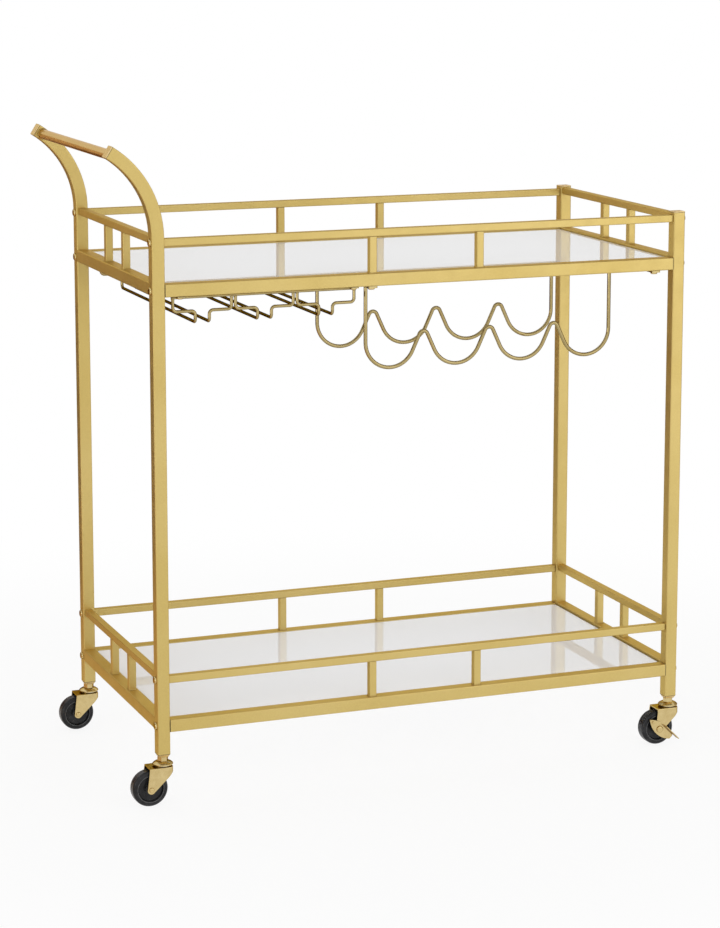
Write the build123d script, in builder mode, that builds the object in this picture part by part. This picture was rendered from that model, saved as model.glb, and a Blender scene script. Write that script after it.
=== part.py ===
from build123d import *
import os
from math import asin, atan2, cos, degrees, hypot, radians, sin

# Bar cart on wheels, in millimetres, +Z up.
# The origin is on the floor, below the middle of the overall length and of the frame's depth.

# Square tubes of the frame
leg_size = 16.0  # legs and lower rails
leg_wall = 1.2
leg_corner = 1.5
slim_size = 9.5  # gallery rails and balusters
slim_wall = 1.0
slim_corner = 1.0

# Frame
frame_length = 720.0  # over the outer faces of the left and right legs
frame_depth = 358.0  # over the outer faces of the front and rear legs
lower_shelf_height = 93.0  # floor to the underside of the lower shelf's long rails
shelf_spacing = 545.0
gallery_gap = 46.0  # clear height between a lower rail and its gallery rail
end_lift = 2.0  # the welded end rails sit this much above the bolted long ones
post_rise = 3.0  # right posts above the long gallery rails
post_plug_depth = 4.0  # stays above the uppermost bolts
long_baluster_spacing = 145.0
end_baluster_spacing = 78.0

# Handle at the top of the left legs
bend_radius = 125.0  # centre line of the bent leg
bend_angle = 58.0
grip_diameter = 12.7
grip_wall = 1.2
grip_setback = 9.0  # grip axis before the end of the leg
cap_thickness = 1.5
cap_plug_depth = 10.0
cap_plug_clearance = 0.6  # per side, the tube is still curved there

# Frame bolts and the threaded inserts in the long rails' ends
bolt_diameter = 5.0
bolt_head_diameter = 10.0
bolt_head_height = 2.6
bolt_engagement = 11.0  # length of bolt inside the insert
bolt_clearance = 0.2  # radial, in the leg
thread_clearance = 0.05  # radial, in the insert
insert_length = 14.0
insert_clearance = 0.1  # per side, in the tube

# Glass shelves and what carries them
glass_thickness = 5.0
glass_gap = 1.5  # all round, to the rails
glass_recess = 1.0  # top of the glass below the long rails' top
glass_corner = 4.0
glass_bevel = 0.6
tab_length = 24.0
tab_reach = 14.0
tab_thickness = 2.0
tab_spacing = 250.0
tabs_per_rail = 3
pad_diameter = 9.0
pad_thickness = 1.0

# Stemware rack
stem_wire = 4.0
stem_bend = 5.0  # centre line radius
channels = 3
channel_share = 0.117  # a channel's pitch as a share of the length between the legs
channel_gap = 5.1  # between the uprights of neighbouring channels, centre lines
channel_margin = 15.3  # first upright's centre line from the left legs' inner face
slot_width = 18.0  # between the centre lines of a channel's rails
stem_inset = 19.5  # wire planes in from the legs' front and rear faces
ledge_drop = 21.0  # below the long rails, at the front
rear_ledge_drop = 16.0
rail_drop = 35.0
rack_tab_width = 10.0
rack_tab_thickness = 1.5
rack_tab_inboard = 5.5  # tab's middle from the outermost upright

# Bottle rack
hoop_wire = 5.0
hoop_radius = 34.0
crest_radius = 6.0
hoops = 4
hoop_share = 0.1345  # a hoop's pitch as a share of the length between the legs
hoop_margin_share = 0.0698  # last upright from the right legs' inner face, as a share of that length
hoop_bottom_drop = 120.0  # lowest centre line below the long rails
crest_drop = 75.0  # highest centre line between hoops, below the long rails
hoop_rows_spacing = 179.0
shoulder_radius = 8.0  # bend from an upright to its foot under the strap
strap_width = 12.0
strap_thickness = 2.5
strap_outboard = 24.0  # strap's middle outside the uprights
strap_inset = 1.0  # strap's ends in from the legs' faces

# Screws that hold the racks under the rails
screw_diameter = 4.0
screw_head_diameter = 9.0
screw_head_height = 2.4
screw_engagement = 5.0  # above the rail's wall
screw_clearance = 0.1  # radial

# Casters
wheel_diameter = 45.5
wheel_width = 17.0
wheel_shoulder = 4.0  # rounded edge of the tread
wheel_recess_depth = 3.0
wheel_recess_outer = 16.4  # radius
wheel_hub_radius = 7.5
wheel_hub_proud = 1.9  # hub face outside the rim's face
caster_trail = 18.2  # axle behind the swivel axis
fork_sheet = 1.5
fork_inner_width = 22.0
fork_nose = 11.5  # top plate ahead of the swivel axis
fork_nose_corner = 8.0
fork_tail = 20.0  # top plate behind the swivel axis
fork_rise = 27.0  # top of the fork above the axle
fork_skirt = 6.0  # height of the front skirt
fork_tip_radius = 5.4
fork_edge = 0.8
axle_diameter = 5.0
axle_head_diameter = 6.4
axle_head_height = 1.6
running_clearance = 0.07  # radial, wheel, lever and fork on their pins
axle_seat_clearance = 0.03  # radial, axle in the fork's ears
kingpin_diameter = 7.0
kingpin_head_diameter = 11.0
kingpin_head_height = 2.0
swivel_gap = 0.3  # above and below the fork's top plate
washer_outer = 10.0  # radius
washer_thickness = 1.5
race_radius = 12.8
race_rim = 1.2
race_height = 4.2
collar_across_flats = 12.0
collar_height = 5.7
stem_diameter = 8.0
stem_end_gap = 6.5  # stem's end below the foot plug's top
foot_lip = 3.5
foot_chamfer = 1.8  # per side, over the lip's height
foot_plug_gap = 4.5  # foot plug's top below the lowest bolts

# Brake levers on the right casters
lever_thickness = 1.2
lever_gap = 0.3
lever_angle = -45.0  # leaf's axis, falling towards the front of the fork
lever_half_length = 21.0
lever_half_width = 7.6
lever_tip_corner = 2.5
lever_rim = 2.2  # height of the turned-up rim along the leaf's upper edge
lever_head_diameter = 9.0
lever_head_height = 2.0
pedal_offset = 7.2  # pedal's lower face from the leaf's axis
pedal_start = 1.0
pedal_end = 27.0
pedal_reach = 8.0
stud_diameter = 3.6
stud_height = 0.9
stud_station = -14.0  # along the leaf's axis

# Derived places
half_leg = leg_size / 2
bend = radians(bend_angle)
handle_reach = bend_radius * (1 - cos(bend)) + cap_thickness * sin(bend) - half_leg * (1 - cos(bend))
left_face = (handle_reach - frame_length - bolt_head_height) / 2
right_face = left_face + frame_length
left_x = left_face + half_leg
right_x = right_face - half_leg
front_y = half_leg - frame_depth / 2
rear_y = -front_y
inner_left = left_face + leg_size
inner_right = right_face - leg_size
inner_front = front_y + half_leg
inner_rear = -inner_front
long_rail_length = inner_right - inner_left
end_rail_length = inner_rear - inner_front
middle_x = (left_face + right_face) / 2

shelf_levels = {"lower": lower_shelf_height, "upper": lower_shelf_height + shelf_spacing}
gallery_level = leg_size + gallery_gap  # underside of a gallery rail above its shelf level
bend_start = shelf_levels["upper"] + gallery_level + slim_size
post_top = bend_start + post_rise
bolt_levels = [
    level + middle for level in shelf_levels.values() for middle in (half_leg, gallery_level + slim_size / 2)
]

wheel_radius = wheel_diameter / 2
axle_z = wheel_radius
fork_top = axle_z + fork_rise
washer_z = fork_top + swivel_gap
race_z = washer_z + washer_thickness
collar_z = race_z + race_height
foot_z = collar_z + collar_height
leg_bottom = foot_z + foot_lip
foot_plug_depth = min(bolt_levels) - bolt_diameter / 2 - foot_plug_gap - leg_bottom
stem_length = foot_lip + foot_plug_depth - stem_end_gap
fork_outer_width = fork_inner_width + 2 * fork_sheet

leg_places = {
    "front_left": (left_x, front_y),
    "rear_left": (left_x, rear_y),
    "front_right": (right_x, front_y),
    "rear_right": (right_x, rear_y),
}
braked_casters = ("front_right", "rear_right")

os.makedirs("parts", exist_ok=True)


def save(builder, name):
    """Labels a finished piece and writes it as its own file."""
    builder.part.label = name
    export_step(builder.part, f"parts/{name}.step")


def along_x(x, y, z):
    """Section plane of a tube that runs along +X, with its own up along +Z."""
    return Plane(origin=(x, y, z), x_dir=(0, 1, 0), z_dir=(1, 0, 0))


def along_y(x, y, z):
    """Section plane of a tube that runs along +Y, with its own up along +Z."""
    return Plane(origin=(x, y, z), x_dir=(-1, 0, 0), z_dir=(0, 1, 0))


def facing_front(x, y, z):
    """Plane that is seen from the front, with its own right along +X and up along +Z."""
    return Plane(origin=(x, y, z), x_dir=(1, 0, 0), z_dir=(0, -1, 0))


def leg_section():
    """Draws the section of the legs and lower rails in the open sketch."""
    RectangleRounded(leg_size, leg_size, leg_corner)
    Rectangle(leg_size - 2 * leg_wall, leg_size - 2 * leg_wall, mode=Mode.SUBTRACT)


def slim_section():
    """Draws the section of the gallery rails and balusters in the open sketch."""
    RectangleRounded(slim_size, slim_size, slim_corner)
    Rectangle(slim_size - 2 * slim_wall, slim_size - 2 * slim_wall, mode=Mode.SUBTRACT)


# Legs: the left pair bends over to the handle, the right pair ends in straight posts
for place, (x, y) in leg_places.items():
    with BuildPart() as leg:
        if x == left_x:
            with BuildLine(facing_front(x, y, 0)) as spine:
                upright = Line((0, leg_bottom), (0, bend_start))
                JernArc(upright @ 1, upright % 1, bend_radius, bend_angle)
            with BuildSketch(Plane.XY.offset(leg_bottom)):
                with Locations((x, y)):
                    leg_section()
            sweep(path=spine.line)
        else:
            with BuildSketch(Plane.XY.offset(leg_bottom)):
                with Locations((x, y)):
                    leg_section()
            extrude(amount=post_top - leg_bottom)
        with BuildSketch(along_x(x - leg_size, y, 0)):
            with Locations(*[(0, level) for level in bolt_levels]):
                Circle(bolt_diameter / 2 + bolt_clearance)
        extrude(amount=2 * leg_size, mode=Mode.SUBTRACT)
    save(leg, f"leg_{place}")

# Handle grip, welded between the bent legs, and the caps that close their ends
grip_angle = bend - grip_setback / bend_radius
grip_x = left_x - bend_radius * (1 - cos(grip_angle))
grip_z = bend_start + bend_radius * sin(grip_angle)
with BuildPart() as grip:
    with BuildSketch(along_y(grip_x, inner_front, grip_z)):
        Circle(grip_diameter / 2)
        Circle(grip_diameter / 2 - grip_wall, mode=Mode.SUBTRACT)
    extrude(amount=end_rail_length)
save(grip, "handle_grip")

leg_end_x = left_x - bend_radius * (1 - cos(bend))
leg_end_z = bend_start + bend_radius * sin(bend)
leg_end_direction = (-sin(bend), 0, cos(bend))
leg_bore = leg_size - 2 * leg_wall
with BuildPart() as handle_caps:
    for y in (front_y, rear_y):
        leg_end = Plane(origin=(leg_end_x, y, leg_end_z), x_dir=(0, 1, 0), z_dir=leg_end_direction)
        with BuildSketch(leg_end):
            RectangleRounded(leg_size, leg_size, leg_corner)
        extrude(amount=cap_thickness)
        with BuildSketch(leg_end):
            Rectangle(leg_bore - 2 * cap_plug_clearance, leg_bore - 2 * cap_plug_clearance)
        extrude(amount=-cap_plug_depth)
save(handle_caps, "handle_end_caps")

with BuildPart() as post_plugs:
    for y in (front_y, rear_y):
        with BuildSketch(Plane.XY.offset(post_top)):
            with Locations((right_x, y)):
                RectangleRounded(leg_size, leg_size, leg_corner)
        extrude(amount=cap_thickness)
        with BuildSketch(Plane.XY.offset(post_top)):
            with Locations((right_x, y)):
                Rectangle(leg_bore - 2 * insert_clearance, leg_bore - 2 * insert_clearance)
        extrude(amount=-post_plug_depth)
save(post_plugs, "post_top_plugs")

# Foot inserts: a lip under each leg and a threaded plug inside it for the caster's stem
with BuildPart() as feet:
    for x, y in leg_places.values():
        with BuildSketch(Plane.XY.offset(leg_bottom)):
            with Locations((x, y)):
                RectangleRounded(leg_size, leg_size, leg_corner)
        with BuildSketch(Plane.XY.offset(foot_z)):
            with Locations((x, y)):
                RectangleRounded(leg_size - 2 * foot_chamfer, leg_size - 2 * foot_chamfer, leg_corner)
        loft()
        with BuildSketch(Plane.XY.offset(leg_bottom)):
            with Locations((x, y)):
                Rectangle(leg_bore - 2 * insert_clearance, leg_bore - 2 * insert_clearance)
        extrude(amount=foot_plug_depth)
    with BuildSketch(Plane.XY.offset(foot_z)):
        with Locations(*leg_places.values()):
            Circle(stem_diameter / 2 + thread_clearance)
    extrude(amount=foot_lip + foot_plug_depth, mode=Mode.SUBTRACT)
save(feet, "leg_foot_inserts")

# Rack places: every rack is screwed up into the upper shelf's long lower rails
upper = shelf_levels["upper"]
channel_pitch = channel_share * long_rail_length
channel_width = channel_pitch - channel_gap
first_channel = inner_left + channel_margin + channel_width / 2
channel_middles = [first_channel + index * channel_pitch for index in range(channels)]
rack_tab_x = (
    channel_middles[0] - channel_width / 2 + rack_tab_inboard,
    channel_middles[-1] + channel_width / 2 - rack_tab_inboard,
)
hoop_pitch = hoop_share * long_rail_length
last_upright = inner_right - hoop_margin_share * long_rail_length
first_upright = last_upright - 2 * hoop_radius - (hoops - 1) * hoop_pitch
strap_x = (first_upright - strap_outboard, last_upright + strap_outboard)
rack_screw_x = (*rack_tab_x, *strap_x)
screw_hole = screw_diameter / 2 + screw_clearance

# Shelf frames: long lower rails, end rails, gallery rails and balusters
for shelf, level in shelf_levels.items():
    for side, y in (("front", front_y), ("rear", rear_y)):
        with BuildPart() as long_rail:
            with BuildSketch(along_x(inner_left, y, level + half_leg)):
                leg_section()
            extrude(amount=long_rail_length)
            if shelf == "upper":
                with BuildSketch(Plane.XY.offset(level)):
                    with Locations(*[(x, y) for x in rack_screw_x]):
                        Circle(screw_hole)
                extrude(amount=leg_wall, mode=Mode.SUBTRACT)
        save(long_rail, f"{shelf}_{side}_rail")

        with BuildPart() as long_gallery:
            with BuildSketch(along_x(inner_left, y, level + gallery_level + slim_size / 2)):
                slim_section()
            extrude(amount=long_rail_length)
        save(long_gallery, f"{shelf}_{side}_gallery_rail")

    for side, x in (("left", left_x), ("right", right_x)):
        with BuildPart() as end_rail:
            with BuildSketch(along_y(x, inner_front, level + end_lift + half_leg)):
                leg_section()
            extrude(amount=end_rail_length)
        save(end_rail, f"{shelf}_{side}_rail")

        with BuildPart() as end_gallery:
            with BuildSketch(along_y(x, inner_front, level + end_lift + gallery_level + slim_size / 2)):
                slim_section()
            extrude(amount=end_rail_length)
        save(end_gallery, f"{shelf}_{side}_gallery_rail")

    with BuildPart() as balusters:
        with BuildSketch(Plane.XY.offset(level + leg_size)):
            with Locations((middle_x, front_y), (middle_x, rear_y)):
                with GridLocations(long_baluster_spacing, 0, 2, 1):
                    slim_section()
        extrude(amount=gallery_gap)
        with BuildSketch(Plane.XY.offset(level + end_lift + leg_size)):
            with Locations((left_x, 0), (right_x, 0)):
                with GridLocations(0, end_baluster_spacing, 1, 2):
                    slim_section()
        extrude(amount=gallery_gap)
    save(balusters, f"{shelf}_balusters")

    with BuildPart() as glass:
        with BuildSketch(Plane.XY.offset(level + leg_size - glass_recess - glass_thickness)):
            with Locations((middle_x, 0)):
                RectangleRounded(long_rail_length - 2 * glass_gap, end_rail_length - 2 * glass_gap, glass_corner)
        extrude(amount=glass_thickness)
        chamfer(glass.faces().filter_by(Axis.Z).edges(), glass_bevel)
    save(glass, f"{shelf}_glass")

# Welded tabs under the glass, with a soft pad on each
glass_underside = leg_size - glass_recess - glass_thickness
with BuildPart() as tabs:
    for level in shelf_levels.values():
        with BuildSketch(Plane.XY.offset(level + glass_underside - pad_thickness)):
            for side in (1, -1):
                with Locations((middle_x, side * (inner_rear - tab_reach / 2))):
                    with GridLocations(tab_spacing, 0, tabs_per_rail, 1):
                        Rectangle(tab_length, tab_reach)
        extrude(amount=-tab_thickness)
save(tabs, "glass_tabs")

with BuildPart() as pads:
    for level in shelf_levels.values():
        with BuildSketch(Plane.XY.offset(level + glass_underside)):
            for side in (1, -1):
                with Locations((middle_x, side * (inner_rear - tab_reach / 2))):
                    with GridLocations(tab_spacing, 0, tabs_per_rail, 1):
                        Circle(pad_diameter / 2)
        extrude(amount=-pad_thickness)
save(pads, "glass_pads")

# Frame bolts: dome heads on the legs' outer faces, shanks into inserts in the long rails' ends
for side, outer, inward in (("left", left_face, 1), ("right", right_face, -1)):
    with BuildPart() as bolts:
        for y in (front_y, rear_y):
            for level in bolt_levels:
                head_plane = Plane(origin=(outer, y, level), x_dir=(0, 1, 0), z_dir=(-inward, 0, 0))
                with BuildSketch(head_plane):
                    Circle(bolt_head_diameter / 2)
                extrude(amount=bolt_head_height)
                with BuildSketch(head_plane):
                    Circle(bolt_diameter / 2)
                extrude(amount=-(leg_size + bolt_engagement))
        rims = bolts.faces().sort_by(Axis.X)[:: inward][: 2 * len(bolt_levels)].edges()
        fillet(rims, bolt_head_height * 0.8)
    save(bolts, f"frame_bolts_{side}")

for kind, bore, heights in (
    ("rail", leg_bore, [half_leg]),
    ("gallery", slim_size - 2 * slim_wall, [gallery_level + slim_size / 2]),
):
    with BuildPart() as inserts:
        for level in shelf_levels.values():
            for y in (front_y, rear_y):
                for x, inward in ((inner_left, 1), (inner_right, -1)):
                    with BuildSketch(along_x(x, y, level + heights[0])):
                        Rectangle(bore - 2 * insert_clearance, bore - 2 * insert_clearance)
                        Circle(bolt_diameter / 2 + thread_clearance, mode=Mode.SUBTRACT)
                    extrude(amount=inward * insert_length)
    save(inserts, f"{kind}_end_inserts")

# Stemware rack: a cross wire front and rear, and two bent wires for each channel
cross_z = upper - rack_tab_thickness - stem_wire / 2
upright_top = cross_z - stem_wire / 2
ledge_z = upper - ledge_drop
rear_ledge_z = upper - rear_ledge_drop
rail_z = upper - rail_drop
stem_front = stem_inset - frame_depth / 2
outermost = (channel_middles[0] - channel_width / 2, channel_middles[-1] + channel_width / 2)
with BuildPart() as cross_wires:
    for y in (stem_front, -stem_front):
        with BuildSketch(along_x(outermost[0] - stem_wire / 2, y, cross_z)):
            Circle(stem_wire / 2)
        extrude(amount=outermost[1] - outermost[0] + stem_wire)
save(cross_wires, "stemware_cross_wires")

for index, middle in enumerate(channel_middles):
    with BuildPart() as channel:
        for side in (-1, 1):
            upright_x = middle + side * channel_width / 2
            rail_x = middle + side * slot_width / 2
            with BuildLine() as spine:
                FilletPolyline(
                    (upright_x, stem_front, upright_top),
                    (upright_x, stem_front, ledge_z),
                    (rail_x, stem_front, ledge_z),
                    (rail_x, stem_front, rail_z),
                    (rail_x, -stem_front, rail_z),
                    (rail_x, -stem_front, rear_ledge_z),
                    (upright_x, -stem_front, rear_ledge_z),
                    (upright_x, -stem_front, upright_top),
                    radius=stem_bend,
                )
            with BuildSketch(Plane.XY.offset(upright_top)):
                with Locations((upright_x, stem_front)):
                    Circle(stem_wire / 2)
            sweep(path=spine.line)
    save(channel, f"stemware_channel_{index + 1}")

with BuildPart() as rack_tabs:
    tab_outer = stem_inset + stem_wire / 2
    with BuildSketch(Plane.XY.offset(upper)):
        for side in (-1, 1):
            with Locations(*[(x, side * (frame_depth - tab_outer) / 2) for x in rack_tab_x]):
                RectangleRounded(rack_tab_width, tab_outer, leg_corner)
            with Locations(*[(x, side * rear_y) for x in rack_tab_x]):
                Circle(screw_hole, mode=Mode.SUBTRACT)
    extrude(amount=-rack_tab_thickness)
save(rack_tabs, "stemware_tabs")

# Bottle rack: two flat straps and two wires bent into a row of hoops
strap_length = frame_depth - 2 * strap_inset
with BuildPart() as straps:
    with BuildSketch(Plane.XY.offset(upper)):
        for x in strap_x:
            with Locations((x, 0)):
                RectangleRounded(strap_width, strap_length, leg_corner)
            with Locations((x, front_y), (x, rear_y)):
                Circle(screw_hole, mode=Mode.SUBTRACT)
    extrude(amount=-strap_thickness)
save(straps, "bottle_straps")

foot_wire_z = upper - strap_thickness - hoop_wire / 2
hoop_z = upper - hoop_bottom_drop + hoop_radius
crest_z = upper - crest_drop - crest_radius
half_pitch = hoop_pitch / 2
centre_distance = hypot(half_pitch, crest_z - hoop_z)
flank = asin((hoop_radius + crest_radius) / centre_distance) + atan2(crest_z - hoop_z, half_pitch)
wire_end = strap_width / 2
for row, y in (("front", -hoop_rows_spacing / 2), ("rear", hoop_rows_spacing / 2)):
    with BuildPart() as hoop_row:
        with BuildLine(facing_front(0, y, 0)) as spine:
            Line((strap_x[0] - wire_end, foot_wire_z), (first_upright - shoulder_radius, foot_wire_z))
            JernArc((first_upright - shoulder_radius, foot_wire_z), (1, 0), shoulder_radius, -90)
            Line((first_upright, foot_wire_z - shoulder_radius), (first_upright, hoop_z))
            for index in range(hoops):
                hoop_x = first_upright + hoop_radius + index * hoop_pitch
                flank_x = hoop_radius * sin(flank)
                flank_z = hoop_z - hoop_radius * cos(flank)
                start = (hoop_x - flank_x, flank_z) if index else (first_upright, hoop_z)
                end = (hoop_x + flank_x, flank_z) if index < hoops - 1 else (last_upright, hoop_z)
                ThreePointArc(start, (hoop_x, hoop_z - hoop_radius), end)
                if index < hoops - 1:
                    crest_x = hoop_x + half_pitch
                    crest_side = crest_radius * sin(flank)
                    crest_foot = crest_z + crest_radius * cos(flank)
                    Line(end, (crest_x - crest_side, crest_foot))
                    ThreePointArc(
                        (crest_x - crest_side, crest_foot),
                        (crest_x, crest_z + crest_radius),
                        (crest_x + crest_side, crest_foot),
                    )
                    Line((crest_x + crest_side, crest_foot), (hoop_x + hoop_pitch - flank_x, flank_z))
            Line((last_upright, hoop_z), (last_upright, foot_wire_z - shoulder_radius))
            JernArc((last_upright, foot_wire_z - shoulder_radius), (0, 1), shoulder_radius, -90)
            Line((last_upright + shoulder_radius, foot_wire_z), (strap_x[1] + wire_end, foot_wire_z))
        with BuildSketch(along_x(strap_x[0] - wire_end, y, foot_wire_z)):
            Circle(hoop_wire / 2)
        sweep(path=spine.line)
    save(hoop_row, f"bottle_hoops_{row}")

# Screws under both racks
with BuildPart() as rack_screws:
    for seats, thickness in ((rack_tab_x, rack_tab_thickness), (strap_x, strap_thickness)):
        with BuildSketch(Plane.XY.offset(upper - thickness)):
            with Locations(*[(x, y) for x in seats for y in (front_y, rear_y)]):
                Circle(screw_head_diameter / 2)
        extrude(amount=-screw_head_height)
        with BuildSketch(Plane.XY.offset(upper - thickness)):
            with Locations(*[(x, y) for x in seats for y in (front_y, rear_y)]):
                Circle(screw_diameter / 2)
        extrude(amount=thickness + leg_wall + screw_engagement)
    heads = rack_screws.faces().filter_by(Axis.Z).filter_by(lambda face: face.normal_at().Z < 0)
    undersides = [face for face in heads if face.area > screw_head_diameter**2 / 2]
    fillet([edge for face in undersides for edge in face.edges()], screw_head_height * 0.7)
save(rack_screws, "rack_screws")

# Caster stems: kingpin, upper race, collar and threaded stem as one turned piece
with BuildPart() as stems:
    for x, y in leg_places.values():
        pin_top = fork_top - fork_sheet - swivel_gap
        with BuildSketch(facing_front(x, y, 0)):
            with BuildLine():
                Polyline(
                    (0, pin_top - kingpin_head_height),
                    (kingpin_head_diameter / 2, pin_top - kingpin_head_height),
                    (kingpin_head_diameter / 2, pin_top),
                    (kingpin_diameter / 2, pin_top),
                    (kingpin_diameter / 2, race_z),
                    (race_radius, race_z),
                    (race_radius, race_z + race_rim),
                )
                ThreePointArc(
                    (race_radius, race_z + race_rim),
                    ((race_radius + collar_across_flats / 2) / 2 + race_rim / 2, race_z + 0.8 * race_height),
                    (collar_across_flats / 2, collar_z),
                )
                Polyline(
                    (collar_across_flats / 2, collar_z),
                    (stem_diameter / 2, collar_z),
                    (stem_diameter / 2, foot_z + stem_length),
                    (0, foot_z + stem_length),
                    (0, pin_top - kingpin_head_height),
                )
            make_face()
        revolve(axis=Axis((x, y, 0), (0, 0, 1)))
        with BuildSketch(Plane.XY.offset(collar_z)):
            with Locations((x, y)):
                RegularPolygon(collar_across_flats / 2, 6, major_radius=False)
        extrude(amount=collar_height)
save(stems, "caster_stems")

with BuildPart() as washers:
    with BuildSketch(Plane.XY.offset(washer_z)):
        with Locations(*leg_places.values()):
            Circle(washer_outer)
            Circle(kingpin_diameter / 2 + running_clearance, mode=Mode.SUBTRACT)
    extrude(amount=washer_thickness)
save(washers, "swivel_washers")

# Casters: pressed fork, riveted axle and moulded wheel, trailing towards the handle
tip_to_nose = hypot(caster_trail + fork_nose, fork_rise - fork_skirt)
nose_slope = atan2(fork_rise - fork_skirt, caster_trail + fork_nose) - asin(fork_tip_radius / tip_to_nose)
tail_offset = fork_tail - caster_trail
ear_reach = max(fork_tail, caster_trail + fork_tip_radius)  # ears' rearmost edge behind the swivel axis
tail_slope = atan2(tail_offset, fork_rise) + asin(fork_tip_radius / hypot(tail_offset, fork_rise))
lever_face = fork_outer_width / 2 + lever_gap
lever_axis = (cos(radians(lever_angle)), 0, sin(radians(lever_angle)))
for place, (x, y) in leg_places.items():
    axle_x = x - caster_trail
    braked = place in braked_casters
    with BuildPart() as fork:
        plate_length = fork_nose + ear_reach
        plate_middle = x + (fork_nose - ear_reach) / 2
        fork_bottom = axle_z - fork_tip_radius
        with BuildSketch(Plane.XY.offset(fork_top)):
            with Locations((plate_middle, y)):
                plate = Rectangle(plate_length, fork_outer_width)
            fillet(plate.vertices().sort_by(Axis.X)[-2:], fork_nose_corner)
        extrude(amount=fork_bottom - fork_top)
        with BuildSketch(Plane.XY.offset(fork_top - fork_sheet)):
            with Locations((plate_middle - fork_sheet, y)):
                hollow = Rectangle(plate_length, fork_inner_width)
            fillet(hollow.vertices().sort_by(Axis.X)[-2:], fork_nose_corner - fork_sheet)
        extrude(amount=fork_bottom - fork_top, mode=Mode.SUBTRACT)
        with BuildSketch(facing_front(axle_x, y, axle_z)):
            with BuildLine():
                nose_tangent = (fork_tip_radius * sin(nose_slope), -fork_tip_radius * cos(nose_slope))
                tail_tangent = (-fork_tip_radius * cos(tail_slope), -fork_tip_radius * sin(tail_slope))
                ThreePointArc(tail_tangent, (0, -fork_tip_radius), nose_tangent)
                Polyline(
                    nose_tangent,
                    (caster_trail + fork_nose, fork_rise - fork_skirt),
                    (caster_trail + fork_nose, fork_rise),
                    (-tail_offset, fork_rise),
                    tail_tangent,
                )
            make_face()
        extrude(amount=fork_outer_width / 2, both=True, mode=Mode.INTERSECT)
        fillet(fork.faces().sort_by(Axis.Z)[-1].edges().filter_by(Axis.X), fork_edge)
        with BuildSketch(Plane.XY.offset(fork_top)):
            with Locations((x, y)):
                Circle(kingpin_diameter / 2 + running_clearance)
        extrude(amount=-fork_sheet, mode=Mode.SUBTRACT)
        with BuildSketch(facing_front(axle_x, y, axle_z)):
            Circle(axle_diameter / 2 + axle_seat_clearance)
        extrude(amount=fork_outer_width, both=True, mode=Mode.SUBTRACT)
    save(fork, f"caster_fork_{place}")

    near_end = (lever_face + lever_thickness + lever_gap) if braked else fork_outer_width / 2
    near_head = (lever_head_diameter, lever_head_height) if braked else (axle_head_diameter, axle_head_height)
    far_end = fork_outer_width / 2
    with BuildPart() as axle:
        with BuildSketch(facing_front(axle_x, y - near_end, axle_z)):
            Circle(axle_diameter / 2)
        extrude(amount=-(near_end + far_end))
        with BuildSketch(facing_front(axle_x, y - near_end, axle_z)):
            Circle(near_head[0] / 2)
        extrude(amount=near_head[1])
        with BuildSketch(facing_front(axle_x, y + far_end, axle_z)):
            Circle(axle_head_diameter / 2)
        extrude(amount=-axle_head_height)
        ends = axle.faces().sort_by(Axis.Y)
        fillet(ends[0].edges(), near_head[1] * 0.8)
        fillet(axle.faces().sort_by(Axis.Y)[-1].edges(), axle_head_height * 0.8)
    save(axle, f"caster_axle_{place}")

    with BuildPart() as wheel:
        half_rim = wheel_width / 2
        half_hub = half_rim + wheel_hub_proud
        web = half_rim - wheel_recess_depth
        bore = axle_diameter / 2 + running_clearance
        with BuildSketch(Plane(origin=(axle_x, y, axle_z), x_dir=(0, 1, 0), z_dir=(1, 0, 0))):
            with BuildLine():
                Polyline(
                    (half_rim, wheel_radius - wheel_shoulder),
                    (half_rim, wheel_recess_outer),
                    (web, wheel_recess_outer - wheel_recess_depth / 2),
                    (web, wheel_hub_radius),
                    (half_hub, wheel_hub_radius),
                    (half_hub, bore),
                    (-half_hub, bore),
                    (-half_hub, wheel_hub_radius),
                    (-web, wheel_hub_radius),
                    (-web, wheel_recess_outer - wheel_recess_depth / 2),
                    (-half_rim, wheel_recess_outer),
                    (-half_rim, wheel_radius - wheel_shoulder),
                )
                RadiusArc(
                    (-half_rim, wheel_radius - wheel_shoulder),
                    (wheel_shoulder - half_rim, wheel_radius),
                    wheel_shoulder,
                )
                Line((wheel_shoulder - half_rim, wheel_radius), (half_rim - wheel_shoulder, wheel_radius))
                RadiusArc(
                    (half_rim - wheel_shoulder, wheel_radius),
                    (half_rim, wheel_radius - wheel_shoulder),
                    wheel_shoulder,
                )
            make_face()
        revolve(axis=Axis((axle_x, y, axle_z), (0, 1, 0)))
    save(wheel, f"caster_wheel_{place}")

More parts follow.
